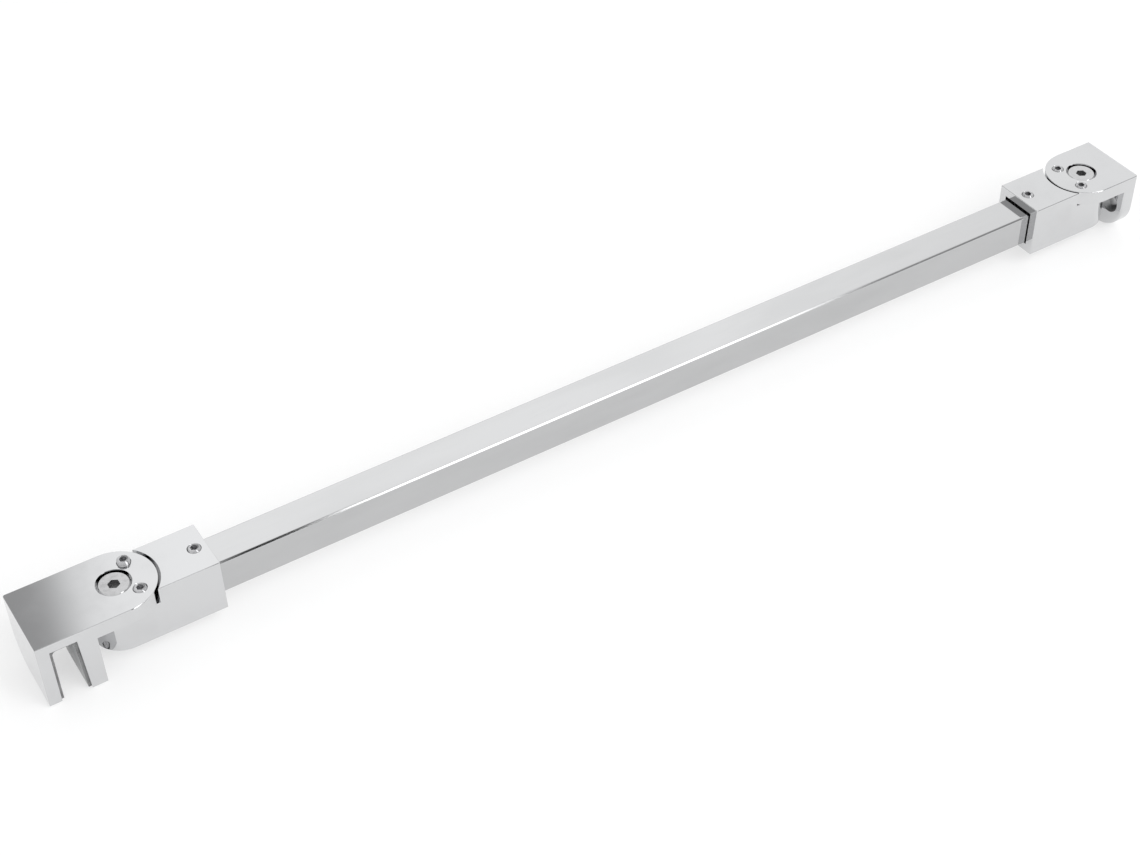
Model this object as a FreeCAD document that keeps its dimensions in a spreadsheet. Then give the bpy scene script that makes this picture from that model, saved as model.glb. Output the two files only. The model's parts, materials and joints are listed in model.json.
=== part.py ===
import FreeCAD, Part

import math
import os
import re

import Sketcher

# Glass-to-wall support bar: a square tube held in two swivelling sockets, with a glass clamp on
# one end and a wall bracket on the other. Millimetres, +Z up. The origin is the centre of the
# bracket's wall face, +X points into the wall and the glass clamp is at -X.
#
# Each end is drawn in its own frame: the swivel axis is local Z, the top faces lie at local z = 0
# and local +X points away from the swivel end. Placements turn and move the ends into place.

os.makedirs("parts", exist_ok=True)
doc = FreeCAD.newDocument("support_bar")

# ---------------------------------------------------------------- driving dimensions

SIZES = {
    "bar_length": (417.5, "length of the square tube"),
    "tube_side": (15.0, "outer side of the square tube"),
    "tube_wall": (1.2, "wall of the square tube"),
    "tube_corner": (1.0, "outer corner radius of the square tube"),
    "bar_insertion": (16.5, "length of tube inside each socket"),
    "bar_end_gap": (1.0, "gap between the tube's end and the bottom of its bore"),
    "bar_floor_gap": (0.1, "gap between the tube and the floor of its bore"),
    "bore_play": (1.0, "how much wider the square bore is than the tube"),
    "socket_side": (23.2, "side of the square socket block"),
    "socket_reach": (35.9, "swivel axis to the mouth of the socket"),
    "shoulder_gap": (1.0, "gap between a plate's round end and the socket's shoulder"),
    "plate_width": (31.3, "width of the clamp and the bracket"),
    "plate_thickness": (6.4, "thickness of a plate at its swivel end"),
    "plate_gap": (0.25, "gap between a plate and the tongue under it"),
    "leg_height": (29.4, "top face to the foot of the legs"),
    "corner_radius": (13.0, "radius of the round lower corner of each leg"),
    "edge_radius": (0.3, "rounding of the polished outer edges"),
    "foot_radius": (0.9, "rounding of the legs' feet"),
    "clamp_neck": (13.6, "swivel axis to the clamp's inner leg"),
    "inner_leg": (7.1, "thickness of the clamp's inner leg at the slot's roof"),
    "slot_width": (10.2, "slot between the clamp's legs, at its roof"),
    "slot_draft": (2.7, "lean of the slot's inner side, in degrees"),
    "outer_leg": (4.7, "thickness of the clamp's outer leg"),
    "slot_roof": (3.8, "thickness of the clamp above its slot"),
    "liner_thickness": (1.05, "thickness of the soft liner"),
    "liner_setback": (0.8, "step from the legs' edge to the liner's edge"),
    "liner_fillet": (1.6, "radius inside the liner's bend"),
    "wall_neck": (12.7, "swivel axis to the bracket's wall leg"),
    "wall_leg": (6.1, "thickness of the bracket's wall leg"),
    "wall_hole": (4.5, "diameter of the wall screw holes"),
    "wall_sink": (9.0, "diameter of the wall screw countersinks"),
    "wall_hole_spacing": (16.0, "distance between the wall screw holes"),
    "wall_hole_drop": (16.5, "top face to the wall screw holes"),
    "pivot_thread": (6.0, "diameter of the pivot screw's shank"),
    "pivot_engagement": (9.0, "length of pivot screw in the tongue"),
    "pivot_hole_spare": (1.0, "tapped depth below the pivot screw's tip"),
    "pivot_head": (12.0, "diameter of the pivot screw's head"),
    "pivot_head_height": (2.8, "height of the pivot screw's head"),
    "head_edge": (0.5, "chamfer round the pivot screw's head"),
    "pivot_recess": (0.5, "top face down to the pivot screw's head"),
    "pivot_well": (13.2, "diameter of the recess round the pivot screw's head"),
    "pivot_key": (4.0, "hexagon of the pivot screw, across flats"),
    "pivot_key_depth": (2.6, "depth of the pivot screw's hexagon"),
    "key_mouth": (0.15, "chamfer at the mouth of the pivot screw's hexagon"),
    "washer_hole": (6.4, "hole of the washers on the pivot screw"),
    "head_washer": (12.8, "diameter of the washer under the head"),
    "head_washer_thickness": (0.6, "thickness of the washer under the head"),
    "pivot_washer": (14.0, "diameter of the friction washer"),
    "pivot_washer_thickness": (0.8, "thickness of the friction washer"),
    "set_thread": (5.0, "thread diameter of the set screws"),
    "set_key": (2.5, "hexagon of the set screws, across flats"),
    "set_key_depth": (2.2, "depth of the set screws' hexagon"),
    "set_point": (0.5, "chamfer at both ends of a set screw"),
    "set_mouth": (0.2, "chamfer at the mouth of a set screw's hole"),
    "tip_gap": (0.1, "gap between a tightened screw's point and what it presses on"),
    "lock_length": (6.0, "length of the swivel lock screws"),
    "lock_radius": (10.2, "swivel axis to the lock screws"),
    "lock_angle": (47.0, "angle of the lock screws either side of the centre line, in degrees"),
    "lock_raise": (1.0, "how far the lock screws are backed out"),
    "clamp_back_raise": (2.3, "how far the clamp's back lock screw is backed out"),
    "bar_screw_length": (5.0, "length of the screw that locks the tube"),
    "bar_screw_setback": (4.9, "mouth of the socket to the screw that locks the tube"),
    "grip_length": (5.0, "length of the grip screws"),
    "grip_tip_gap": (0.25, "gap between a grip screw's point and the liner"),
    "grip_spacing": (13.0, "distance between the grip screws"),
    "grip_rise": (3.5, "foot of the inner leg up to the grip screws"),
    "screw_clearance": (0.05, "radial clearance of every screw in its hole"),
}

sheet = doc.addObject("Spreadsheet::Sheet", "Sizes")
for row, (alias, (value, meaning)) in enumerate(SIZES.items(), start=1):
    sheet.set(f"A{row}", meaning)
    sheet.set(f"B{row}", str(value))
    sheet.setAlias(f"B{row}", alias)
doc.recompute()

# Places that several pieces share, as formulas on the sheet's names.
SEAT_DEPTH = "(plate_thickness + plate_gap)"
BORE_SIDE = "(tube_side + bore_play)"
BORE_FLOOR = f"((socket_side + {BORE_SIDE}) / 2)"
BAR_TOP = f"({BORE_FLOOR} - bar_floor_gap - tube_side)"
# The lock screws stay between the well and the round end, however narrow the plate is.
LOCK_RING = "min(lock_radius; (pivot_well + plate_width) / 4)"
WELL_DEPTH = "(pivot_recess + pivot_head_height + head_washer_thickness)"
WASHER_SINK = "(pivot_washer_thickness - plate_gap)"
SLOT_START = "(clamp_neck + inner_leg)"
SLOT_END = f"({SLOT_START} + slot_width)"
CLAMP_REACH = f"({SLOT_END} + outer_leg)"
WALL_REACH = "(wall_neck + wall_leg)"
GRIP_DROP = "(leg_height - grip_rise)"
BORE_DEPTH = "(bar_insertion + bar_end_gap)"
WALL_PIVOT = f"(-{WALL_REACH})"
GLASS_PIVOT = f"({WALL_PIVOT} - 2 * (socket_reach - bar_insertion) - bar_length)"
TOP = "(leg_height / 2)"

# ---------------------------------------------------------------- helpers

START, END, CENTRE = 1, 2, 3
ORIGIN_POINT = (-1, START)
X_AXIS, Y_AXIS = -1, -2
TURNED = FreeCAD.Rotation(FreeCAD.Vector(0, 0, 1), 180)
TOLERANCE = 1e-4


def cells(formula):
    """A formula on the sheet's names, such as "bar_length / 2", as a FreeCAD expression."""
    return re.sub(r"[a-z]+(?:_[a-z]+)+", lambda word: "Sizes." + word.group(), formula)


def bind(thing, prop, formula):
    thing.setExpression(prop, cells(formula))


def new_body(label, pivot, turned=False, x="0", y="0", z="0"):
    """A body in the frame of the swivel axis at world x = pivot, moved by local x, y and z."""
    body = doc.addObject("PartDesign::Body", label)
    body.Label = label
    place(body, pivot, turned, x, y, z)
    return body


def place(thing, pivot, turned, x="0", y="0", z="0"):
    sign = "-" if turned else ""
    if turned:
        thing.Placement = FreeCAD.Placement(FreeCAD.Vector(), TURNED)
    bind(thing, "Placement.Base.x", f"{pivot} + {sign}({x})")
    bind(thing, "Placement.Base.y", f"{sign}({y})")
    bind(thing, "Placement.Base.z", f"{TOP} + {z}")


def new_sketch(body, plane="XY_Plane", x="0", y="0", z="0"):
    """A sketch on one of the body's origin planes, shifted by x, y and z of that plane."""
    sketch = body.newObject("Sketcher::SketchObject", body.Label + "_sketch")
    support = [item for item in body.Origin.OriginFeatures if item.Role == plane][0]
    sketch.AttachmentSupport = [(support, "")]
    sketch.MapMode = "FlatFace"
    for axis, formula in zip("xyz", (x, y, z)):
        bind(sketch, f"AttachmentOffset.Base.{axis}", formula)
    return sketch


def dimension(sketch, kind, where, formula):
    index = sketch.addConstraint(Sketcher.Constraint(kind, *where, 1.0))
    bind(sketch, f"Constraints[{index}]", formula)


def constrain(sketch, kind, *where):
    sketch.addConstraint(Sketcher.Constraint(kind, *where))


def add_polygon(sketch, points):
    """Closed loop of lines through the points, drawn at unit size. Returns the lines' numbers."""
    corners = [FreeCAD.Vector(px, py, 0) for px, py in points]
    ends = corners[1:] + corners[:1]
    lines = [sketch.addGeometry(Part.LineSegment(a, b), False) for a, b in zip(corners, ends)]
    for line, following in zip(lines, lines[1:] + lines[:1]):
        constrain(sketch, "Coincident", line, END, following, START)
    return lines


def add_rectangle(sketch, left, right, low, high):
    """Rectangle between signed distances from the sketch's origin."""
    low_line, right_line, high_line, left_line = add_polygon(sketch, [(0, 0), (1, 0), (1, 1), (0, 1)])
    for line in (low_line, high_line):
        constrain(sketch, "Horizontal", line)
    for line in (right_line, left_line):
        constrain(sketch, "Vertical", line)
    dimension(sketch, "DistanceX", (*ORIGIN_POINT, left_line, START), left)
    dimension(sketch, "DistanceX", (*ORIGIN_POINT, right_line, START), right)
    dimension(sketch, "DistanceY", (*ORIGIN_POINT, low_line, START), low)
    dimension(sketch, "DistanceY", (*ORIGIN_POINT, high_line, START), high)


def add_square(sketch, side):
    half = f"({side}) / 2"
    add_rectangle(sketch, f"-({half})", half, f"-({half})", half)


def add_circle(sketch, radius, x=None, y=None):
    """Circle whose centre is at signed distances x and y; without one it lies on that axis."""
    circle = sketch.addGeometry(Part.Circle(FreeCAD.Vector(0, 0, 0), FreeCAD.Vector(0, 0, 1), 1), False)
    dimension(sketch, "Radius", (circle,), radius)
    if x is None:
        constrain(sketch, "PointOnObject", circle, CENTRE, Y_AXIS)
    else:
        dimension(sketch, "DistanceX", (*ORIGIN_POINT, circle, CENTRE), x)
    if y is None:
        constrain(sketch, "PointOnObject", circle, CENTRE, X_AXIS)
    else:
        dimension(sketch, "DistanceY", (*ORIGIN_POINT, circle, CENTRE), y)


def add_hexagon(sketch, across_flats, corner_axis=X_AXIS):
    """Regular hexagon about the sketch's origin with a corner on one axis, in a construction circle."""
    first = 90 if corner_axis == Y_AXIS else 0
    turns = [math.radians(first + 60 * number) for number in range(6)]
    lines = add_polygon(sketch, [(math.cos(turn), math.sin(turn)) for turn in turns])
    circle = Part.Circle(FreeCAD.Vector(0, 0, 0), FreeCAD.Vector(0, 0, 1), 1)
    ring = sketch.addGeometry(circle, True)
    constrain(sketch, "Coincident", ring, CENTRE, *ORIGIN_POINT)
    for line in lines:
        constrain(sketch, "PointOnObject", line, START, ring)
    for line in lines[1:]:
        constrain(sketch, "Equal", lines[0], line)
    constrain(sketch, "PointOnObject", lines[0], START, corner_axis)
    dimension(sketch, "Radius", (ring,), f"({across_flats}) / sqrt(3)")


def add_tongue(sketch, width, reach):
    """Outline with a half round about the swivel axis and a square end at x = reach."""
    low = sketch.addGeometry(Part.LineSegment(FreeCAD.Vector(0, -1, 0), FreeCAD.Vector(2, -1, 0)), False)
    end = sketch.addGeometry(Part.LineSegment(FreeCAD.Vector(2, -1, 0), FreeCAD.Vector(2, 1, 0)), False)
    high = sketch.addGeometry(Part.LineSegment(FreeCAD.Vector(2, 1, 0), FreeCAD.Vector(0, 1, 0)), False)
    circle = Part.Circle(FreeCAD.Vector(0, 0, 0), FreeCAD.Vector(0, 0, 1), 1)
    nose = sketch.addGeometry(Part.ArcOfCircle(circle, math.pi / 2, 1.5 * math.pi), False)
    constrain(sketch, "Coincident", low, END, end, START)
    constrain(sketch, "Coincident", end, END, high, START)
    constrain(sketch, "Coincident", high, END, nose, START)
    constrain(sketch, "Coincident", nose, END, low, START)
    constrain(sketch, "Coincident", nose, CENTRE, *ORIGIN_POINT)
    constrain(sketch, "PointOnObject", low, START, Y_AXIS)
    constrain(sketch, "PointOnObject", high, END, Y_AXIS)
    constrain(sketch, "Horizontal", low)
    constrain(sketch, "Horizontal", high)
    constrain(sketch, "Vertical", end)
    dimension(sketch, "Radius", (nose,), f"({width}) / 2")
    dimension(sketch, "DistanceX", (*ORIGIN_POINT, end, START), reach)


def add_slot(sketch, inset, foot):
    """Outline of the glass slot on the XZ plane, set in by inset, down to local z = -foot."""
    near, far = f"{SLOT_START} + {inset}", f"{SLOT_END} - {inset}"
    lean = f"({foot} - slot_roof - {inset}) * tan(slot_draft * 1 deg)"
    roof = f"-(slot_roof + {inset})"
    corners = [(near, roof), (far, roof), (far, f"-({foot})"), (f"{near} - {lean}", f"-({foot})")]
    lines = add_polygon(sketch, [(0, 1), (1, 1), (1, 0), (0, 0)])
    for line, (x, y) in zip(lines, corners):
        dimension(sketch, "DistanceX", (*ORIGIN_POINT, line, START), x)
        dimension(sketch, "DistanceY", (*ORIGIN_POINT, line, START), y)


def add_feature(kind, sketch, depth, flipped=False, both_ways=False):
    body = sketch.getParentGeoFeatureGroup()
    base = body.Tip
    feature = body.newObject(f"PartDesign::{kind}", f"{body.Label}_{kind}")
    feature.Profile = sketch
    feature.Refine = True
    feature.Reversed = flipped
    feature.Midplane = both_ways
    bind(feature, "Length", depth)
    doc.recompute()
    if kind == "Pocket" and feature.Shape.Volume > base.Shape.Volume - TOLERANCE:
        raise RuntimeError(f"{feature.Name} cuts nothing")
    return feature


def pad_down(sketch, depth):
    """Pad from a sketch on the top plane down to local z = -depth."""
    return add_feature("Pad", sketch, depth, flipped=True)


def pad_along(sketch, depth):
    return add_feature("Pad", sketch, depth)


def pocket(sketch, depth):
    """Cut against the sketch plane's own direction: down from the top, or back along local -X."""
    return add_feature("Pocket", sketch, depth)


def dress(kind, feature, radius, wanted):
    """Fillet or Chamfer on the feature's edges for which wanted(edge) holds."""
    body = feature.getParentGeoFeatureGroup()
    numbered = enumerate(feature.Shape.Edges, start=1)
    names = [f"Edge{n}" for n, edge in numbered if not edge.Degenerated and wanted(edge)]
    if not names:
        raise RuntimeError(f"no edge of {feature.Name} to dress")
    result = body.newObject(f"PartDesign::{kind}", f"{body.Label}_{kind}")
    result.Base = (feature, names)
    bind(result, "Radius" if kind == "Fillet" else "Size", radius)
    doc.recompute()
    return result


def size(name):
    """The present value of one name on the sheet."""
    return float(sheet.get(name))


def near(first, second):
    return abs(first - second) < TOLERANCE


def is_straight(edge):
    return isinstance(edge.Curve, Part.Line)


def is_line_along(edge, axis):
    if not is_straight(edge):
        return False
    return near(abs(getattr(edge.tangentAt(edge.FirstParameter), axis)), 1)


def is_flat(edge, axis, position):
    """True for an edge that lies in the plane where the axis has this position."""
    box = edge.BoundBox
    return near(getattr(box, f"{axis}Min"), position) and near(getattr(box, f"{axis}Max"), position)


def is_ring(edge, radius):
    return isinstance(edge.Curve, Part.Circle) and near(edge.Curve.Radius, radius)


# ---------------------------------------------------------------- tube


def make_tube():
    """Square tube with rounded corners, drawn about its middle, along world X."""
    middle = f"({GLASS_PIVOT} + {WALL_PIVOT}) / 2"
    body = new_body("bar_tube", middle, z=f"-({BAR_TOP} + tube_side / 2)")
    outline = new_sketch(body, "YZ_Plane", z="-bar_length / 2")
    add_square(outline, "tube_side")
    solid = pad_along(outline, "bar_length")
    dress("Fillet", solid, "tube_corner", lambda edge: is_line_along(edge, "x"))
    inside = new_sketch(body, "YZ_Plane", z="bar_length / 2")
    add_square(inside, "tube_side - 2 * tube_wall")
    pocket(inside, "bar_length")


# ---------------------------------------------------------------- sockets


def make_socket(label, pivot, turned):
    """Block with a square bore, cut down at the swivel end to a tongue that carries the plate."""
    body = new_body(label, pivot, turned)
    outline = new_sketch(body)
    add_tongue(outline, "socket_side", "socket_reach")
    block = pad_down(outline, "socket_side")

    def is_outer(edge):
        at_mouth = is_flat(edge, "X", size("socket_reach"))
        is_long = is_flat(edge, "Z", 0.0) or is_flat(edge, "Z", -size("socket_side"))
        return at_mouth or is_long

    dress("Fillet", block, "edge_radius", is_outer)

    seat = new_sketch(body)
    add_circle(seat, "plate_width / 2 + shoulder_gap")
    pocket(seat, SEAT_DEPTH)

    washer_seat = new_sketch(body)
    add_circle(washer_seat, "pivot_washer / 2 + screw_clearance")
    pocket(washer_seat, f"{SEAT_DEPTH} + {WASHER_SINK}")

    thread = new_sketch(body)
    add_circle(thread, "pivot_thread / 2")
    pocket(thread, f"{SEAT_DEPTH} + pivot_engagement + pivot_hole_spare")

    bore = new_sketch(body, "YZ_Plane", y="-socket_side / 2", z="socket_reach")
    add_square(bore, BORE_SIDE)
    pocket(bore, BORE_DEPTH)

    screw_hole = new_sketch(body, x="socket_reach - bar_screw_setback")
    add_circle(screw_hole, "set_thread / 2")
    drilled = pocket(screw_hole, "socket_side / 2")
    mouth_of_hole(drilled, lambda edge: is_flat(edge, "Z", 0.0))


def mouth_of_hole(feature, in_plane):
    radius = size("set_thread") / 2
    dress("Chamfer", feature, "set_mouth", lambda edge: is_ring(edge, radius) and in_plane(edge))


# ---------------------------------------------------------------- clamp and bracket


def make_head(label, pivot, turned, neck, reach):
    """Plate with a round swivel end and one thick leg from x = neck to x = reach."""
    body = new_body(label, pivot, turned)
    plate = new_sketch(body)
    add_tongue(plate, "plate_width", reach)
    pad_down(plate, "plate_thickness")
    leg = new_sketch(body)
    add_rectangle(leg, neck, reach, "-plate_width / 2", "plate_width / 2")
    legged = pad_down(leg, "leg_height")
    round_lower_corner(legged, size("leg_height"), size("plate_width") / 2, "corner_radius")
    return body


def round_lower_corner(feature, height, side, radius):
    """Large round on the edge along X at local y = -side and z = -height."""

    def is_lower_corner(edge):
        return is_line_along(edge, "x") and is_flat(edge, "Y", -side) and is_flat(edge, "Z", -height)

    return dress("Fillet", feature, radius, is_lower_corner)


def round_edges(body):
    """Small rounds on the feet, which run on round the large corner, and on the top face's edge."""
    foot = -size("leg_height")
    seam = size("corner_radius") - size("plate_width") / 2

    def is_foot(edge):
        return is_flat(edge, "Z", foot) and not is_flat(edge, "Y", seam)

    footed = dress("Fillet", body.Tip, "foot_radius", is_foot)
    dress("Fillet", footed, "edge_radius", lambda edge: is_flat(edge, "Z", 0.0))


def bore_swivel_end(body):
    """Recess for the pivot screw's head, hole for its shank and two tapped holes beside it."""
    well = new_sketch(body)
    add_circle(well, "pivot_well / 2")
    pocket(well, WELL_DEPTH)
    shank = new_sketch(body)
    add_circle(shank, "pivot_thread / 2")
    pocket(shank, "leg_height")
    locks = new_sketch(body)
    for side in ("", "-"):
        add_circle(locks, "set_thread / 2", *lock_place(side))
    drilled = pocket(locks, "leg_height")
    mouth_of_hole(drilled, lambda edge: is_flat(edge, "Z", 0.0))


def lock_place(side):
    """Local x and y of a lock screw, on the socket's side of the swivel axis."""
    turn = "(lock_angle * 1 deg)"
    return f"-{LOCK_RING} * cos{turn}", f"{side}({LOCK_RING} * sin{turn})"


def make_clamp():
    body = make_head("glass_clamp", GLASS_PIVOT, True, "clamp_neck", CLAMP_REACH)
    slot = new_sketch(body, "XZ_Plane")
    add_slot(slot, "0", "leg_height")
    add_feature("Pocket", slot, "2 * plate_width", both_ways=True)
    round_edges(body)
    bore_swivel_end(body)
    grips = new_sketch(body, "YZ_Plane", y=f"-{GRIP_DROP}", z=SLOT_START)
    for side in ("", "-"):
        add_circle(grips, "set_thread / 2", x=f"{side}(grip_spacing / 2)")
    drilled = pocket(grips, "inner_leg")
    mouth_of_hole(drilled, lambda edge: is_flat(edge, "X", size("clamp_neck")))


def make_bracket():
    body = make_head("wall_bracket", WALL_PIVOT, False, "wall_neck", WALL_REACH)
    round_edges(body)
    bore_swivel_end(body)
    holes = new_sketch(body, "YZ_Plane", y="-wall_hole_drop", z=WALL_REACH)
    for side in ("", "-"):
        add_circle(holes, "wall_hole / 2", x=f"{side}(wall_hole_spacing / 2)")
    drilled = pocket(holes, "wall_leg")
    radius, inner = size("wall_hole") / 2, size("wall_neck")

    def is_inner_rim(edge):
        return is_ring(edge, radius) and is_flat(edge, "X", inner)

    dress("Chamfer", drilled, "(wall_sink - wall_hole) / 2", is_inner_rim)


def make_liner():
    """U-shaped soft liner: a web under the slot's roof and a wall on each leg."""
    body = new_body("glass_liner", GLASS_PIVOT, turned=True)
    outside = new_sketch(body, "XZ_Plane")
    add_slot(outside, "0", "(leg_height - liner_setback)")
    solid = add_feature("Pad", outside, "plate_width - 2 * liner_setback", both_ways=True)
    depth = size("leg_height") - size("liner_setback")
    side = size("plate_width") / 2 - size("liner_setback")
    round_lower_corner(solid, depth, side, "corner_radius - liner_setback")
    glass_gap = new_sketch(body, "XZ_Plane")
    add_slot(glass_gap, "liner_thickness", "leg_height")
    opened = add_feature("Pocket", glass_gap, "2 * plate_width", both_ways=True)
    roof = -size("slot_roof") - size("liner_thickness")

    def is_bend(edge):
        return is_line_along(edge, "y") and is_flat(edge, "Z", roof)

    dress("Fillet", opened, "liner_fillet", is_bend)


# ---------------------------------------------------------------- screws and washers


def make_set_screw(label, length, pivot, turned, x, y="0", z="0", along_x=False):
    """Set screw with a hexagon socket, from local z = z down, or from local x = x towards +X."""
    body = new_body(label, pivot, turned, x, y, z)
    plane, reach = ("YZ_Plane", pad_along) if along_x else ("XY_Plane", pad_down)
    shaft = new_sketch(body, plane)
    add_circle(shaft, "set_thread / 2 - screw_clearance")
    rod = reach(shaft, length)
    radius = size("set_thread") / 2 - size("screw_clearance")
    dress("Chamfer", rod, "set_point", lambda edge: is_ring(edge, radius))
    key = new_sketch(body, plane)
    add_hexagon(key, "set_key")
    add_feature("Pocket", key, "set_key_depth", flipped=along_x)


def make_lock_screws(end, pivot, turned):
    """The two lock screws of one head; local +Y is the back at the wall and the front at the glass."""
    raises = {"front": "lock_raise", "back": "clamp_back_raise" if end == "glass" else "lock_raise"}
    front_side = "" if turned else "-"
    back_side = "-" if turned else ""
    for name, side in (("front", front_side), ("back", back_side)):
        x, y = lock_place(side)
        top = f"-({SEAT_DEPTH} - tip_gap - {raises[name]} - lock_length)"
        make_set_screw(f"{end}_lock_screw_{name}", "lock_length", pivot, turned, x, y, top)


def make_bar_screw(end, pivot, turned):
    top = f"-({BAR_TOP} - tip_gap - bar_screw_length)"
    x = "socket_reach - bar_screw_setback"
    make_set_screw(f"{end}_bar_screw", "bar_screw_length", pivot, turned, x, z=top)


def make_grip_screws():
    lean = f"({GRIP_DROP} - slot_roof) * tan(slot_draft * 1 deg)"
    x = f"{SLOT_START} - {lean} - grip_tip_gap - grip_length"
    for name, side in (("front", ""), ("back", "-")):
        y = f"{side}(grip_spacing / 2)"
        make_set_screw(
            f"grip_screw_{name}", "grip_length", GLASS_PIVOT, True, x, y, f"-{GRIP_DROP}", along_x=True
        )


def make_pivot_screw(end, pivot):
    """Low-head screw from the well in the plate into the tongue of the socket."""
    body = new_body(f"{end}_pivot_screw", pivot, z="-pivot_recess")
    shank = new_sketch(body)
    add_circle(shank, "pivot_thread / 2 - screw_clearance")
    tip = f"{SEAT_DEPTH} + pivot_engagement - pivot_recess"
    rod = pad_down(shank, tip)
    radius = size("pivot_thread") / 2 - size("screw_clearance")
    dress("Chamfer", rod, "set_point", lambda edge: is_ring(edge, radius) and not is_flat(edge, "Z", 0.0))
    head = new_sketch(body)
    add_circle(head, "pivot_head / 2")
    disc = pad_down(head, "pivot_head_height")
    rim = size("pivot_head") / 2
    dress("Chamfer", disc, "head_edge", lambda edge: is_ring(edge, rim) and is_flat(edge, "Z", 0.0))
    key = new_sketch(body)
    add_hexagon(key, "pivot_key", Y_AXIS)
    keyed = pocket(key, "pivot_key_depth")
    dress("Chamfer", keyed, "key_mouth", lambda edge: is_straight(edge) and is_flat(edge, "Z", 0.0))


def make_washer(label, pivot, diameter, thickness, top):
    """Flat ring on the swivel axis, its top face at local z = -top."""
    rings = []
    for part, width in (("outer", diameter), ("inner", "washer_hole")):
        ring = doc.addObject("Part::Cylinder", f"{label}_{part}")
        bind(ring, "Radius", f"{width} / 2")
        bind(ring, "Height", thickness)
        rings.append(ring)
    washer = doc.addObject("Part::Cut", label)
    washer.Label = label
    washer.Base, washer.Tool = rings
    place(washer, pivot, False, z=f"-({top}) - {thickness}")
    return washer


# ---------------------------------------------------------------- assembly

make_tube()
make_clamp()
make_liner()
make_bracket()
make_grip_screws()
for end, pivot, head_turned in (("glass", GLASS_PIVOT, True), ("wall", WALL_PIVOT, False)):
    make_socket(f"{end}_socket", pivot, not head_turned)
    make_bar_screw(end, pivot, not head_turned)
    make_pivot_screw(end, pivot)
    make_lock_screws(end, pivot, head_turned)
    under_head = "pivot_recess + pivot_head_height"
    make_washer(f"{end}_head_washer", pivot, "head_washer", "head_washer_thickness", under_head)
    make_washer(f"{end}_pivot_washer", pivot, "pivot_washer", "pivot_washer_thickness", "plate_thickness")

doc.recompute()
failed = [item.Label for item in doc.Objects if {"Invalid", "Error"} & set(item.State)]
if failed:
    raise RuntimeError(f"failed features: {failed}")

pieces = [item for item in doc.Objects if item.TypeId in ("PartDesign::Body", "Part::Cut")]
for piece in pieces:
    if piece.Shape.isNull() or not piece.Shape.isValid() or len(piece.Shape.Solids) != 1:
        raise RuntimeError(f"{piece.Label} is not one sound solid")
for piece in pieces:
    piece.Shape.exportStep(f"parts/{piece.Label}.step")
print(f"{len(pieces)} pieces written")
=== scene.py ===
"""Looks of a glass-to-wall support bar: polished tube, chromed ends, screws, washers and liner."""

import json
import math

import bmesh
import bpy
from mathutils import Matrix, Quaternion, Vector

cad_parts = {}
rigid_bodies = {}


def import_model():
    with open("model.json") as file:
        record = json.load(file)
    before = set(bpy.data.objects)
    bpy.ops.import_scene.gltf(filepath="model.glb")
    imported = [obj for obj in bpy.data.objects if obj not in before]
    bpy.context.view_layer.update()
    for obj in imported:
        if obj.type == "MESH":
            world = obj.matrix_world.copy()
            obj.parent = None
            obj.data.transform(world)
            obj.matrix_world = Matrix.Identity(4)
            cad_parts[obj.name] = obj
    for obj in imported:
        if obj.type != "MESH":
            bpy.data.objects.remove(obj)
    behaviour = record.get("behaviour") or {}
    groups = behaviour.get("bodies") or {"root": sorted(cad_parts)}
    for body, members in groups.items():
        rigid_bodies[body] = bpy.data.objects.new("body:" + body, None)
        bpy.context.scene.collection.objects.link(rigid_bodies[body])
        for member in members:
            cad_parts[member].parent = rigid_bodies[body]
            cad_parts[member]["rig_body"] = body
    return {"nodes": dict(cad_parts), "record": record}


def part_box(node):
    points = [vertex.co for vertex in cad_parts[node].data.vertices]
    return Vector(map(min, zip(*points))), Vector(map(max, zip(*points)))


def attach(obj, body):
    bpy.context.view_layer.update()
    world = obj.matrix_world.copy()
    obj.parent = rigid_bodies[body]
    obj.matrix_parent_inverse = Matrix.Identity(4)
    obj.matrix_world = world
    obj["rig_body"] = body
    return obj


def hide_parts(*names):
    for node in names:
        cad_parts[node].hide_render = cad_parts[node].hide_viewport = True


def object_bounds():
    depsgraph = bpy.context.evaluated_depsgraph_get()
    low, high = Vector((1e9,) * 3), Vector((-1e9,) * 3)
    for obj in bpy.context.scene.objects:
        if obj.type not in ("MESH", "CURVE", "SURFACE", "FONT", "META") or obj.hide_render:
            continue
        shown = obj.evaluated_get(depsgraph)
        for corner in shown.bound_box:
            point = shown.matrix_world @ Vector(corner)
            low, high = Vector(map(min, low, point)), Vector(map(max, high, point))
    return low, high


bl_info = {
    "name": "Support bar looks",
    "version": (1, 0, 0),
    "blender": (4, 5, 0),
    "location": "View3D > Sidebar > Support Bar",
    "description": "Finishes, threaded screws, soft liner and studio for a glass support bar",
    "category": "Object",
}

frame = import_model()
cad_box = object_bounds()

MM = 0.001
LOCK_SCREWS = [
    f"{end}_lock_screw_{side}" for end in ("glass", "wall") for side in ("front", "back")
]
BAR_SCREWS = ["glass_bar_screw", "wall_bar_screw"]
GRIP_SCREWS = ["grip_screw_front", "grip_screw_back"]
SET_SCREWS = LOCK_SCREWS + BAR_SCREWS + GRIP_SCREWS
PIVOT_KEY_REACH = 2.5 * MM
BORE_PLAY = 0.55 * MM  # from the side of the tube to just past the wall of its bore
BORE_RISE = 0.4 * MM  # of the middle of the bore above the middle of the tube
SINK_RADIUS = 4.5 * MM


# ---------------------------------------------------------------- shader maths


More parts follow.
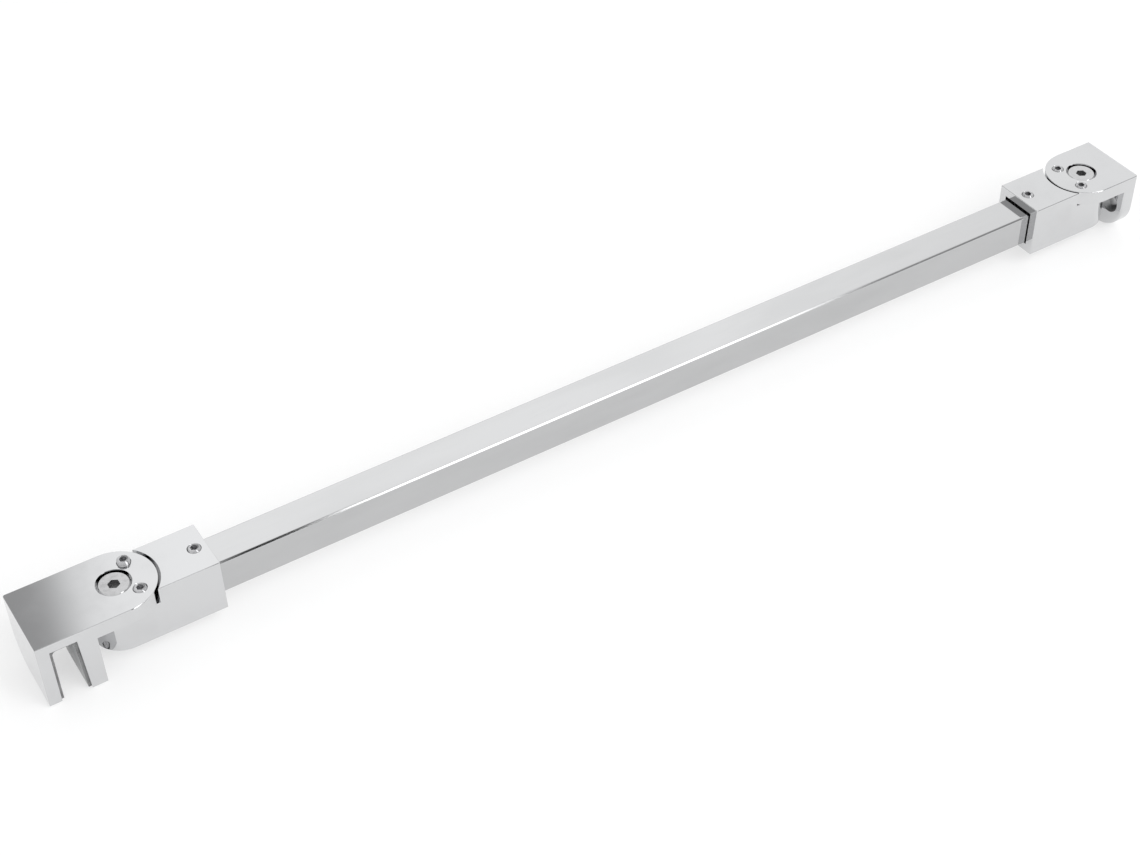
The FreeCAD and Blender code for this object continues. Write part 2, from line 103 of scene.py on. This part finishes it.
class Wire:
    """An output socket that takes part in arithmetic; each operation adds its Math node."""

    def __init__(self, graph, socket):
        self.graph = graph
        self.socket = socket

    def math(self, operation, *terms):
        return self.graph.node("ShaderNodeMath", {"operation": operation}, dict(enumerate(terms)))

    def __add__(self, other):
        return self.math("ADD", self, other)

    def __radd__(self, other):
        return self.math("ADD", other, self)

    def __sub__(self, other):
        return self.math("SUBTRACT", self, other)

    def __rsub__(self, other):
        return self.math("SUBTRACT", other, self)

    def __mul__(self, other):
        return self.math("MULTIPLY", self, other)

    def __rmul__(self, other):
        return self.math("MULTIPLY", other, self)

    def __abs__(self):
        return self.math("ABSOLUTE", self)

    def at_most(self, other):
        return self.math("MINIMUM", self, other)

    def at_least(self, other):
        return self.math("MAXIMUM", self, other)

    def sine(self):
        return self.math("SINE", self)

    def root(self):
        return self.math("SQRT", self)

    def rise(self, low, high):
        """Smooth step from 0 at low to 1 at high."""
        return self.graph.node(
            "ShaderNodeMapRange",
            {"interpolation_type": "SMOOTHSTEP"},
            {"Value": self, "From Min": low, "From Max": high},
        )

    def band(self, low, high, soft):
        """1 between low and high, fading to 0 over soft on each side."""
        return self.rise(low - soft, low + soft) * (1 - self.rise(high - soft, high + soft))


class Graph:
    """A node tree that is filled from Python expressions."""

    def __init__(self, owner):
        owner.use_nodes = True
        self.owner = owner
        self.tree = owner.node_tree
        self.tree.nodes.clear()

    def node(self, kind, settings=None, sockets=None, out=0):
        made = self.tree.nodes.new(kind)
        for name, value in (settings or {}).items():
            setattr(made, name, value)
        for key, value in (sockets or {}).items():
            if isinstance(value, Wire):
                self.tree.links.new(value.socket, made.inputs[key])
            else:
                made.inputs[key].default_value = value
        return Wire(self, made.outputs[out]) if made.outputs else made

    def place(self):
        """Position in the frame's own metres."""
        return self.node("ShaderNodeTexCoord", out="Object")

    def parts(self, vector):
        split = self.node("ShaderNodeSeparateXYZ", sockets={0: vector})
        return [Wire(self, output) for output in split.socket.node.outputs]

    def stretch(self, vector, scale):
        return self.node(
            "ShaderNodeVectorMath", {"operation": "MULTIPLY"}, {0: vector, 1: scale}
        )

    def noise(self, vector, scale, detail=2.0):
        sockets = {"Vector": vector, "Scale": scale, "Detail": detail, "Roughness": 0.55}
        return self.node("ShaderNodeTexNoise", {}, sockets)

    def blend(self, factor, first, second):
        sockets = {0: factor, 6: (*first, 1.0), 7: (*second, 1.0)}
        return self.node("ShaderNodeMix", {"data_type": "RGBA"}, sockets, out=2)

    def relief(self, height):
        """Normal of a surface whose height is given in metres."""
        return self.node("ShaderNodeBump", {}, {"Strength": 1.0, "Distance": 1.0, "Height": height})

    def finish_surface(self, shader):
        self.node("ShaderNodeOutputMaterial", {}, {"Surface": shader})
        return self.owner


def darker(colour, share):
    return tuple(channel * share for channel in colour)


def metal(colour, roughness, height, shade):
    """A metal whose tone, roughness and relief come from the given wires."""
    graph = height.graph
    sockets = {
        "Base Color": graph.blend(shade, colour, darker(colour, 0.55)),
        "Metallic": 1.0,
        "Roughness": roughness,
        "Normal": graph.relief(height),
    }
    return graph.finish_surface(graph.node("ShaderNodeBsdfPrincipled", {}, sockets))


def new_graph(name):
    return Graph(bpy.data.materials.new(name))


# ---------------------------------------------------------------- finishes


def chrome(name, finish, recess=None):
    """Mirror-polished chrome. recess(graph) marks recess surfaces; they are left rougher as
    machined, and painted darker as painted shade.
    """
    graph = new_graph(name)
    place = graph.place()
    haze = graph.noise(place, 55.0, 3.0)
    wave = graph.noise(place, 38.0, 1.0)
    swirl = graph.noise(graph.stretch(place, (1.0, 1.0, 1.6)), 2600.0, 2.0)
    # Where inside is set, roughness rises as for machined metal, and the shade term paints the
    # recess darker as painted shade.
    inside = recess(graph) if recess else 0.0
    roughness = finish.polish + 0.05 * haze.rise(0.45, 0.75) + 0.38 * inside
    height = wave * finish.waviness + swirl * (0.05 * finish.waviness)
    shade = (0.10 * haze.rise(0.4, 0.8) + inside).at_most(1.0)
    return metal(finish.colour, roughness, height, shade)


def drawn_steel(name, finish):
    """Polished tube with fine lines along it. Its sides are painted darker than its top, as painted
    shade.
    """
    graph = new_graph(name)
    place = graph.place()
    _, across, _ = graph.parts(graph.node("ShaderNodeTexCoord", out="Normal"))
    # Painted shade: sides marks the faces that face along y, and 0.28 * sides in shade darkens
    # their colour.
    sides = abs(across).rise(0.6, 0.95)
    lines = graph.noise(graph.stretch(place, (0.02, 1.0, 1.0)), 3200.0, 3.0)
    patches = graph.noise(graph.stretch(place, (0.25, 1.0, 1.0)), 60.0, 2.0)
    roughness = finish.polish + 0.06 * patches.rise(0.45, 0.7) + 0.03 * lines.rise(0.4, 0.7)
    height = lines * finish.line_depth + patches * (3.0 * finish.line_depth)
    shade = 0.12 * patches.rise(0.35, 0.75) + 0.06 * lines.rise(0.5, 0.8) + 0.28 * sides
    return metal(finish.colour, roughness, height, shade)


def turned_steel(name, centre, finish, colour, key_reach=0.0):
    """Lathe-turned face with fine rings about centre, its top. A hexagon is left rougher as
    broached, and painted darker as painted shade.
    """
    graph = new_graph(name)
    place = graph.place()
    x, y, z = graph.parts(place)
    across, along = x - centre.x, y - centre.y
    radius = (across * across + along * along).root()
    below_face = (centre.z - z).rise(0.15 * MM, 0.5 * MM)
    # inside marks the hexagon key hole below the top face: rougher as broached, and darkened
    # through shade as painted shade.
    inside = (1 - radius.rise(key_reach, key_reach + 0.1 * MM)) * below_face
    ring = (radius * (2 * math.pi / finish.ring_spacing)).sine()
    stain = graph.noise(place, 420.0, 3.0)
    roughness = finish.polish + 0.10 * stain.rise(0.42, 0.72) + 0.30 * inside
    height = ring * finish.ring_depth + stain * (0.6 * finish.ring_depth)
    shade = (0.22 * stain.rise(0.4, 0.8) + 0.10 * (ring * 0.5 + 0.5) + inside).at_most(1.0)
    return metal(colour, roughness, height, shade)


def machined_steel(name, finish):
    """Set screw steel: darker, with a fine tumbled grain and random oil stains."""
    graph = new_graph(name)
    place = graph.place()
    grain = graph.noise(place, 5200.0, 3.0)
    stain = graph.noise(place, 700.0, 2.0)
    roughness = finish.polish + 0.16 * stain.rise(0.4, 0.7)
    height = grain * (2.0 * finish.ring_depth)
    shade = 0.35 * stain.rise(0.42, 0.75) + 0.15 * grain.rise(0.4, 0.8)
    return metal(finish.set_colour, roughness, height, shade)


def rubber(name, finish, centre, half_width):
    """Slightly translucent grey rubber with a moulded stipple and painted shade on its cut ends."""
    graph = new_graph(name)
    place = graph.place()
    _, y, _ = graph.parts(place)
    # Painted shade: ends marks the liner's cut ends, and 0.8 * ends in shade darkens their colour.
    ends = abs(y - centre.y).rise(half_width - 0.3 * MM, half_width - 0.1 * MM)
    stipple = graph.noise(place, 2400.0, 2.0)
    cloud = graph.noise(place, 180.0, 2.0)
    shade = (0.3 * cloud.rise(0.3, 0.75) + 0.8 * ends).at_most(1.0)
    tone = graph.blend(shade, finish.liner_colour, darker(finish.liner_colour, 0.3))
    sockets = {
        "Base Color": tone,
        "Roughness": 0.42 + 0.16 * stipple,
        "Normal": graph.relief(stipple * finish.stipple_depth),
        "IOR": 1.45,
        "Subsurface Weight": 0.35,
        "Subsurface Radius": (0.0012, 0.0012, 0.0012),
        "Subsurface Scale": 1.0,
    }
    return graph.finish_surface(graph.node("ShaderNodeBsdfPrincipled", {}, sockets))


def nylon(name, finish):
    """Matt off-white plastic with a slight mottle."""
    graph = new_graph(name)
    place = graph.place()
    mottle = graph.noise(place, 900.0, 3.0)
    worn = darker(finish.nylon_colour, 0.86)
    tone = graph.blend(mottle.rise(0.35, 0.7), finish.nylon_colour, worn)
    sockets = {
        "Base Color": tone,
        "Roughness": 0.48 + 0.2 * mottle,
        "Normal": graph.relief(mottle * finish.stipple_depth),
        "IOR": 1.53,
    }
    return graph.finish_surface(graph.node("ShaderNodeBsdfPrincipled", {}, sockets))


def dress(node, material):
    """Gives a CAD node its finish in every material slot."""
    thing = frame["nodes"][node]
    if not thing.data.materials:
        thing.data.materials.append(material)
    for slot in thing.material_slots:
        slot.material = material


def middle(node):
    low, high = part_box(node)
    return (low + high) / 2


# ---------------------------------------------------------------- meshes

CUP_SHARE = 0.55  # of the flat end's radius
CUP_DEPTH = 0.30 * MM
RIM = 0.05 * MM
KEY_MOUTH = 0.12 * MM
CREST_SLOPE = 2.4  # above 2, so that a thread's crest is flat and its root is sharp
SCREW_CREASE, LINER_CREASE = 38, 35  # degrees
BEND_STEPS = 6
STRAIGHT_SLICES, CORNER_SLICES = 8, 14


def link_mesh(name, mesh, material):
    thing = bpy.data.objects.new(name, mesh)
    mesh.materials.append(material)
    bpy.context.scene.collection.objects.link(thing)
    return thing


def mesh_data(name, mesh):
    """Ends the work on a bmesh and gives its mesh data."""
    data = bpy.data.meshes.new(name)
    mesh.to_mesh(data)
    mesh.free()
    return data


def skin(mesh, rings):
    """Adds the faces between each closed ring of corners and the next."""
    count = len(rings[0])
    for first, second in zip(rings, rings[1:]):
        for k in range(count):
            after = (k + 1) % count
            mesh.faces.new((first[k], first[after], second[after], second[k]))


def smooth_but_sharp(mesh, degrees):
    for polygon in mesh.polygons:
        polygon.use_smooth = True
    mesh.set_sharp_from_angle(angle=math.radians(degrees))


def hexagon_reach(turn, across_flats):
    """Distance from the middle of a hexagon to its side, in the direction turn."""
    sixth = math.pi / 3
    return across_flats / 2 / math.cos((turn + sixth / 2) % sixth - sixth / 2)


def ring_levels(radius, length, screw):
    """Rings of a set screw from its cup point up to the floor of its key, each (reach, height),
    and the heights of the middles of the cup and of the key's floor."""
    pitch, depth, point = screw.pitch, screw.thread_depth, screw.point
    steps = max(8, round(length / pitch * screw.steps_per_pitch))

    def threaded(height):
        def reach(turn):
            phase = (height / pitch - turn / (2 * math.pi)) % 1.0
            crest = min(1.0, CREST_SLOPE * min(phase, 1.0 - phase))
            end = radius - point + min(height, length - height)
            return min(radius - depth * (1.0 - crest), end)

        return reach

    def circle(reach):
        return lambda turn: reach

    def hexagon(turn):
        return hexagon_reach(turn, screw.key)

    floor = length - screw.key_depth
    levels = [
        (circle(CUP_SHARE * (radius - point)), CUP_DEPTH),
        (circle(radius - point - RIM), 0.0),
    ]
    levels += [(threaded(length * k / steps), length * k / steps) for k in range(steps + 1)]
    levels.append((circle(screw.key / math.sqrt(3) + KEY_MOUTH), length))
    levels += [(hexagon, length - KEY_MOUTH), (hexagon, floor)]
    return levels, CUP_DEPTH, floor - 0.25 * screw.key


def threaded_screw(name, node, screw, material, along_x=False):
    """A set screw with a real helical thread, in the space of its CAD node."""
    low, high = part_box(node)
    length = high.x - low.x if along_x else high.z - low.z
    radius = (high.y - low.y) / 2
    centre = middle(node)
    levels, cup_floor, key_floor = ring_levels(radius, length, screw)
    mesh = bmesh.new()
    count = screw.sides

    def corner(across, up, height):
        if along_x:
            return mesh.verts.new((high.x - height, centre.y + across, centre.z + up))
        return mesh.verts.new((centre.x + across, centre.y + up, low.z + height))

    rings = []
    for reach, height in levels:
        turns = [2 * math.pi * k / count for k in range(count)]
        ring = [corner(reach(t) * math.cos(t), reach(t) * math.sin(t), height) for t in turns]
        rings.append(ring)
    skin(mesh, rings)
    for ring, height in ((rings[0], cup_floor), (rings[-1], key_floor)):
        tip = corner(0.0, 0.0, height)
        for k in range(count):
            mesh.faces.new((ring[k], ring[(k + 1) % count], tip))
    bmesh.ops.recalc_face_normals(mesh, faces=mesh.faces)
    data = mesh_data(name, mesh)
    smooth_but_sharp(data, SCREW_CREASE)
    thing = link_mesh(name, data, material)
    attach(thing, frame["nodes"][node]["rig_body"])
    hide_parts(node)


def liner_outline(low, high, foot, soft):
    """U-shaped section of the liner where its feet are at height foot, as (x, z) corners."""
    lean = math.tan(math.radians(soft.lean))
    wall = soft.thickness
    near_top, roof = high.x - (high.z - low.z) * lean, high.z - wall

    def near(height, inset):
        return near_top - inset + (high.z - inset - height) * lean

    outside = [(near(foot, 0.0), foot), (near_top, high.z), (low.x, high.z), (low.x, foot)]
    far = low.x + wall
    bend = soft.bend
    turns = [math.pi / 2 * k / BEND_STEPS for k in range(BEND_STEPS + 1)]
    far_bend = [
        (far + bend * (1 - math.cos(t)), roof - bend * (1 - math.sin(t))) for t in turns
    ]
    near_bend = [
        (near_top - wall - bend * (1 - math.sin(t)), roof - bend * (1 - math.cos(t)))
        for t in turns
    ]
    return outside + [(far, foot)] + far_bend + near_bend + [(near(foot, wall), foot)]


def moulded_liner(name, soft, material):
    """Liner with rounded edges and the clamp's round lower corner."""
    low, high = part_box("glass_liner")
    corner = soft.corner
    start = high.y - corner
    slices = [low.y + (start - low.y) * k / STRAIGHT_SLICES for k in range(STRAIGHT_SLICES + 1)]
    turns = [math.pi / 2 * k / CORNER_SLICES for k in range(1, CORNER_SLICES + 1)]
    slices += [start + corner * math.sin(turn) for turn in turns]
    mesh = bmesh.new()
    rings = []
    for y in slices:
        into_corner = max(0.0, y - start)
        foot = low.z + corner - math.sqrt(max(0.0, corner**2 - into_corner**2))
        section = liner_outline(low, high, foot, soft)
        rings.append([mesh.verts.new((x, y, z)) for x, z in section])
    skin(mesh, rings)
    mesh.faces.new(rings[0])
    mesh.faces.new(rings[-1])
    bmesh.ops.recalc_face_normals(mesh, faces=mesh.faces)
    data = mesh_data(name, mesh)
    smooth_but_sharp(data, LINER_CREASE)
    thing = link_mesh(name, data, material)
    rounding = thing.modifiers.new("moulded_edges", "BEVEL")
    rounding.width = soft.edge
    rounding.segments = 3
    rounding.limit_method = "ANGLE"
    rounding.angle_limit = math.radians(LINER_CREASE)
    rounding.use_clamp_overlap = True
    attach(thing, "glass_clamp")
    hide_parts("glass_liner")


# ---------------------------------------------------------------- settings


def colour_property(name, description, default):
    return bpy.props.FloatVectorProperty(
        name=name, description=description, default=default, subtype="COLOR", min=0.0, max=1.0
    )


def length_property(name, description, default):
    return bpy.props.FloatProperty(
        name=name, description=description, default=default, min=0.0, unit="LENGTH", precision=6
    )


def number_property(name, description, default, **extra):
    return bpy.props.FloatProperty(name=name, description=description, default=default, **extra)


class ChromeSettings(bpy.types.PropertyGroup):
    colour: colour_property("Colour", "Tone of the chrome", (0.645, 0.648, 0.655))
    polish: number_property("Roughness", "Roughness of the polished faces", 0.045, min=0.0, max=1.0)
    waviness: length_property("Waviness", "Height of the polish's slow waves", 0.0000012)


class TubeSettings(bpy.types.PropertyGroup):
    colour: colour_property("Colour", "Tone of the tube", (0.605, 0.607, 0.612))
    polish: number_property("Roughness", "Roughness of the tube's faces", 0.06, min=0.0, max=1.0)
    line_depth: length_property("Line depth", "Depth of the lines along the tube", 0.00000012)


class ScrewSettings(bpy.types.PropertyGroup):
    colour: colour_property("Head colour", "Tone of the pivot screws", (0.60, 0.60, 0.605))
    washer_colour: colour_property("Washer colour", "Tone of the steel washers", (0.66, 0.66, 0.66))
    set_colour: colour_property("Set screw colour", "Tone of the set screws", (0.50, 0.50, 0.51))
    polish: number_property("Roughness", "Roughness of the screws", 0.14, min=0.0, max=1.0)
    ring_spacing: length_property("Ring spacing", "Distance between turning marks", 0.00022)
    ring_depth: length_property("Ring depth", "Depth of the turning marks", 0.0000004)
    pitch: length_property("Pitch", "Thread pitch of the set screws", 0.0008)
    thread_depth: length_property("Thread depth", "Depth of the set screws' thread", 0.00042)
    point: length_property("Point", "Chamfer at the ends of a set screw", 0.0005)
    key: length_property("Key", "Hexagon across flats", 0.0025)
    key_depth: length_property("Key depth", "Depth of the hexagon", 0.0022)
    sides: bpy.props.IntProperty(
        name="Sides", description="Corners round a set screw", default=48, min=24
    )
    steps_per_pitch: bpy.props.IntProperty(
        name="Steps", description="Rings of mesh in one thread pitch", default=10, min=6
    )


class SoftSettings(bpy.types.PropertyGroup):
    liner_colour: colour_property("Liner colour", "Tone of the liner", (0.50, 0.505, 0.51))
    nylon_colour: colour_property(
        "Nylon colour", "Tone of the friction washers", (0.80, 0.80, 0.77)
    )
    stipple_depth: length_property("Stipple", "Depth of the moulded stipple", 0.000012)
    thickness: length_property("Thickness", "Wall of the liner", 0.00105)
    bend: length_property("Bend", "Radius inside the liner's bends", 0.0016)
    corner: length_property("Corner", "Round lower corner of the liner", 0.0122)
    edge: length_property("Edge", "Rounding of the liner's edges", 0.0002)
    lean: number_property("Lean", "Slope of the liner's inner wall, in degrees", 2.7)


class StudioSettings(bpy.types.PropertyGroup):
    floor_colour: colour_property("Floor colour", "Tone of the floor", (0.93, 0.93, 0.93))
    floor_glow: number_property(
        "Floor glow", "Share of the floor's light that it gives itself", 0.5
    )
    sky: number_property("Sky", "Brightness of the room's light", 0.98, min=0.0)
    key_power: number_property("Key power", "Power of the large front light, in watts", 7.5)
    fill_power: number_property("Fill power", "Power of the two small end lights, in watts", 0.10)
    lens: number_property("Lens", "Focal length in millimetres", 63.62)


class SupportBarSettings(bpy.types.PropertyGroup):
    chrome: bpy.props.PointerProperty(
        type=ChromeSettings, name="Chrome", description="Finish of the clamp, bracket and sockets"
    )
    tube: bpy.props.PointerProperty(
        type=TubeSettings, name="Tube", description="Finish of the square tube"
    )
    screws: bpy.props.PointerProperty(
        type=ScrewSettings, name="Screws", description="Finish and thread of the screws"
    )
    soft: bpy.props.PointerProperty(
        type=SoftSettings, name="Soft parts", description="Liner and friction washers"
    )
    studio: bpy.props.PointerProperty(
        type=StudioSettings, name="Studio", description="Floor, light and camera"
    )


# ---------------------------------------------------------------- stage

CAMERA_PLACE = Vector((-0.5915, -0.5060, 0.5315))
CAMERA_AIM = Vector((0.38365, 0.63336, -0.67206))
CAMERA_ROLL = math.radians(-1.26)
FLOOR_REACH = 14.0
FLOOR_GAIN = 1.10  # strength of the floor's own light when it replaces all that falls on it
KEY_PLACE = Vector((0.1, -1.1, 1.3))
FILL_OFFSET = Vector((0.0, -0.42, 0.16))
ROOM_TINT = (0.995, 0.998, 1.0, 1.0)


def room_light(studio):
    """Pale room for the polished faces to mirror. Bearings and heights are in degrees. The dark,
    white and grey bands ahead lie in cones round the bar's axis, so that each crosses the tube's
    rounded front edge in one place."""
    world = bpy.data.worlds.new("studio_room")
    bpy.context.scene.world = world
    graph = Graph(world)
    x, y, z = graph.parts(graph.node("ShaderNodeTexCoord", out="Generated"))
    bearing = x.math("ARCTAN2", y, x) * (180 / math.pi)
    height = z.math("ARCSINE", z) * (180 / math.pi)
    behind = 0.10 * bearing.band(20.0, 79.0, 6.0) + 0.15 * bearing.band(48.0, 79.0, 6.0)
    level = studio.sky + behind * height.band(22.0, 62.0, 8.0)
    beside = bearing.rise(77.6, 80.4) * (1 - bearing.rise(112.0, 128.0))
    side_screen = beside * height.band(32.0, 62.0, 7.0)
    end_screen = bearing.band(124.0, 150.0, 4.0) * height.band(20.0, 52.0, 5.0)
    ceiling = height.rise(66.0, 74.0)
    ahead = (1 - y.rise(-0.1, 0.0)) * z.rise(0.0, 0.1)
    dark_band = x.band(0.207, 0.269, 0.003) * ahead
    grey_band = x.band(0.515, 0.70, 0.02) * ahead
    white_band = x.rise(0.268, 0.275) * (1 - x.rise(0.46, 0.53)) * ahead
    for screen, share in (
        (side_screen, 0.60),
        (end_screen, 0.42),
        (ceiling, 0.62),
        (dark_band, 0.97),
        (grey_band, 0.60),
    ):
        level = level * (1 - share * screen)
    level = level + 2.2 * white_band
    shine = graph.node("ShaderNodeBackground", {}, {"Color": ROOM_TINT, "Strength": level})
    graph.node("ShaderNodeOutputWorld", {}, {"Surface": shine})


def soft_light(name, place, aim, power, width, depth):
    """Area lamp that lights the floor but shows in no polished face."""
    lamp = bpy.data.lights.new(name, "AREA")
    lamp.shape = "RECTANGLE"
    lamp.size, lamp.size_y = width, depth
    lamp.energy = power
    thing = bpy.data.objects.new(name, lamp)
    thing.location = place
    thing.rotation_mode = "QUATERNION"
    thing.rotation_quaternion = (aim - place).to_track_quat("-Z", "Y")
    thing.visible_glossy = False
    bpy.context.scene.collection.objects.link(thing)


def floor_material(studio):
    """Pale matt floor that gives part of its light itself, so its shadows stay soft."""
    graph = new_graph("studio_floor")
    grain = graph.noise(graph.place(), 9.0, 3.0)
    tone = darker(studio.floor_colour, 1.0 - studio.floor_glow)
    sockets = {
        "Base Color": graph.blend(grain, tone, darker(tone, 0.985)),
        "Roughness": 0.85,
        "Specular IOR Level": 0.15,
        "Emission Color": (*studio.floor_colour, 1.0),
        "Emission Strength": FLOOR_GAIN * studio.floor_glow,
    }
    return graph.finish_surface(graph.node("ShaderNodeBsdfPrincipled", {}, sockets))


def make_floor(studio):
    low, _ = cad_box
    mesh = bmesh.new()
    bmesh.ops.create_grid(mesh, x_segments=8, y_segments=8, size=FLOOR_REACH)
    data = mesh_data("studio_floor", mesh)
    floor = link_mesh("studio_floor", data, floor_material(studio))
    floor.location.z = low.z - 0.1 * MM


def make_camera(studio):
    data = bpy.data.cameras.new("camera")
    data.lens = studio.lens
    data.sensor_width = 36.0
    data.clip_start, data.clip_end = 0.01, 100.0
    camera = bpy.data.objects.new("camera", data)
    camera.rotation_mode = "QUATERNION"
    camera.location = CAMERA_PLACE
    aim = CAMERA_AIM.to_track_quat("-Z", "Y")
    camera.rotation_quaternion = aim @ Quaternion((0.0, 0.0, 1.0), CAMERA_ROLL)
    bpy.context.scene.collection.objects.link(camera)
    bpy.context.scene.camera = camera


# ---------------------------------------------------------------- operators


class SUPPORTBAR_OT_tube(bpy.types.Operator):
    """Gives the square tube its drawn and polished steel"""

    bl_idname = "supportbar.tube"
    bl_label = "Finish Tube"

    def execute(self, context):
        dress("bar_tube", drawn_steel("polished_tube", context.scene.support_bar.tube))
        return {"FINISHED"}


def bore_recess(node):
    """Marks the walls of a socket's square bore, from its mouth to just past the tube's end, for
    rougher machined chrome with painted shade.
    """
    low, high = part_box(node)
    tube_low, tube_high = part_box("bar_tube")
    side = (tube_high.y - tube_low.y) / 2 + BORE_PLAY
    centre = (tube_low + tube_high) / 2
    first = max(low.x + 0.4 * MM, tube_low.x - 1.0 * MM)
    last = min(high.x - 0.4 * MM, tube_high.x + 1.0 * MM)

    def mark(graph):
        x, y, z = graph.parts(graph.place())
        across = abs(y - centre.y).at_least(abs(z - (centre.z + BORE_RISE)))
        within = x.band(first, last, 0.1 * MM)
        return within * (1 - across.rise(side, side + 0.05 * MM))

    return mark


class SUPPORTBAR_OT_sockets(bpy.types.Operator):
    """Gives both sockets polished chrome outside and a bore that is rougher as machined and painted
    darker as painted shade
    """

    bl_idname = "supportbar.sockets"
    bl_label = "Finish Sockets"

    def execute(self, context):
        finish = context.scene.support_bar.chrome
        for node in ("glass_socket", "wall_socket"):
            dress(node, chrome(f"{node}_chrome", finish, bore_recess(node)))
        return {"FINISHED"}


def countersinks():
    """Marks the walls and cones of the bracket's wall screw holes, for rougher machined chrome with
    painted shade.
    """
    pattern = next(m for m in frame["record"]["mounts"] if m["name"] == "wall_screws")
    centre = Vector(pattern["pos_m"])
    apart = pattern["dims"]["spacing_x_mm"] * MM / 2

    def mark(graph):
        x, y, z = graph.parts(graph.place())
        across, up = abs(y - centre.y) - apart, z - centre.z
        radius = (across * across + up * up).root()
        within_leg = (x - centre.x).band(-6.15 * MM, -0.2 * MM, 0.05 * MM)
        return (1 - radius.rise(SINK_RADIUS + 0.05 * MM, SINK_RADIUS + 0.2 * MM)) * within_leg

    return mark


class SUPPORTBAR_OT_heads(bpy.types.Operator):
    """Gives the glass clamp and the wall bracket their mirror chrome"""

    bl_idname = "supportbar.heads"
    bl_label = "Finish Clamp and Bracket"

    def execute(self, context):
        finish = context.scene.support_bar.chrome
        dress("glass_clamp", chrome("glass_clamp_chrome", finish))
        dress("wall_bracket", chrome("wall_bracket_chrome", finish, countersinks()))
        return {"FINISHED"}


class SUPPORTBAR_OT_pivot_screws(bpy.types.Operator):
    """Gives the pivot screws and the steel washers their turned faces"""

    bl_idname = "supportbar.pivot_screws"
    bl_label = "Finish Pivot Screws and Washers"

    def execute(self, context):
        screws = context.scene.support_bar.screws
        for end in ("glass", "wall"):
            for kind, colour, key_reach in (
                ("pivot_screw", screws.colour, PIVOT_KEY_REACH),
                ("head_washer", screws.washer_colour, 0.0),
            ):
                node = f"{end}_{kind}"
                top = middle(node)
                top.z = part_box(node)[1].z
                dress(node, turned_steel(f"{node}_steel", top, screws, colour, key_reach))
        return {"FINISHED"}


class SUPPORTBAR_OT_set_screws(bpy.types.Operator):
    """Builds the eight set screws with helical threads and hexagon sockets"""

    bl_idname = "supportbar.set_screws"
    bl_label = "Build Set Screws"

    def execute(self, context):
        screws = context.scene.support_bar.screws
        steel = machined_steel("set_screw_steel", screws)
        for node in SET_SCREWS:
            threaded_screw(f"{node}_threaded", node, screws, steel, along_x=node in GRIP_SCREWS)
            dress(node, steel)
        return {"FINISHED"}


class SUPPORTBAR_OT_soft_parts(bpy.types.Operator):
    """Builds the moulded liner and finishes the friction washers"""

    bl_idname = "supportbar.soft_parts"
    bl_label = "Build Liner, Finish Friction Washers"

    def execute(self, context):
        soft = context.scene.support_bar.soft
        low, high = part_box("glass_liner")
        liner_finish = rubber("liner_rubber", soft, middle("glass_liner"), (high.y - low.y) / 2)
        moulded_liner("glass_liner_moulded", soft, liner_finish)
        dress("glass_liner", liner_finish)
        plastic = nylon("friction_nylon", soft)
        for end in ("glass", "wall"):
            dress(f"{end}_pivot_washer", plastic)
        return {"FINISHED"}


class SUPPORTBAR_OT_stage(bpy.types.Operator):
    """Adds the floor, the room's light, the lamps and the camera"""

    bl_idname = "supportbar.stage"
    bl_label = "Set Stage"

    def execute(self, context):
        studio = context.scene.support_bar.studio
        context.scene.view_settings.view_transform = "Standard"
        make_floor(studio)
        room_light(studio)
        low, high = cad_box
        centre = (low + high) / 2
        soft_light("key_light", KEY_PLACE, centre, studio.key_power, 1.3, 0.9)
        for name, x in (("glass_end_light", low.x), ("wall_end_light", high.x)):
            target = Vector((x, low.y, low.z))
            soft_light(name, target + FILL_OFFSET, target, studio.fill_power, 0.22, 0.10)
        make_camera(studio)
        return {"FINISHED"}


OPERATORS = (
    SUPPORTBAR_OT_stage,
    SUPPORTBAR_OT_tube,
    SUPPORTBAR_OT_sockets,
    SUPPORTBAR_OT_heads,
    SUPPORTBAR_OT_pivot_screws,
    SUPPORTBAR_OT_set_screws,
    SUPPORTBAR_OT_soft_parts,
)


class SUPPORTBAR_PT_panel(bpy.types.Panel):
    """Settings and steps of the support bar"""

    bl_idname = "SUPPORTBAR_PT_panel"
    bl_label = "Support Bar"
    bl_space_type = "VIEW_3D"
    bl_region_type = "UI"
    bl_category = "Support Bar"

    def draw(self, context):
        settings = context.scene.support_bar
        for group_name in ("chrome", "tube", "screws", "soft", "studio"):
            group = getattr(settings, group_name)
            box = self.layout.box()
            box.label(text=settings.bl_rna.properties[group_name].name)
            for name in group.__annotations__:
                box.prop(group, name)
        for operator in OPERATORS:
            self.layout.operator(operator.bl_idname)


CLASSES = (
    ChromeSettings,
    TubeSettings,
    ScrewSettings,
    SoftSettings,
    StudioSettings,
    SupportBarSettings,
    *OPERATORS,
    SUPPORTBAR_PT_panel,
)


def register():
    for item in CLASSES:
        bpy.utils.register_class(item)
    bpy.types.Scene.support_bar = bpy.props.PointerProperty(
        type=SupportBarSettings, name="Support bar", description="Looks of the support bar"
    )


def unregister():
    del bpy.types.Scene.support_bar
    for item in reversed(CLASSES):
        bpy.utils.unregister_class(item)


def main():
    register()
    for operator in OPERATORS:
        group, step = operator.bl_idname.split(".")
        getattr(getattr(bpy.ops, group), step)()


if __name__ == "__main__":
    main()
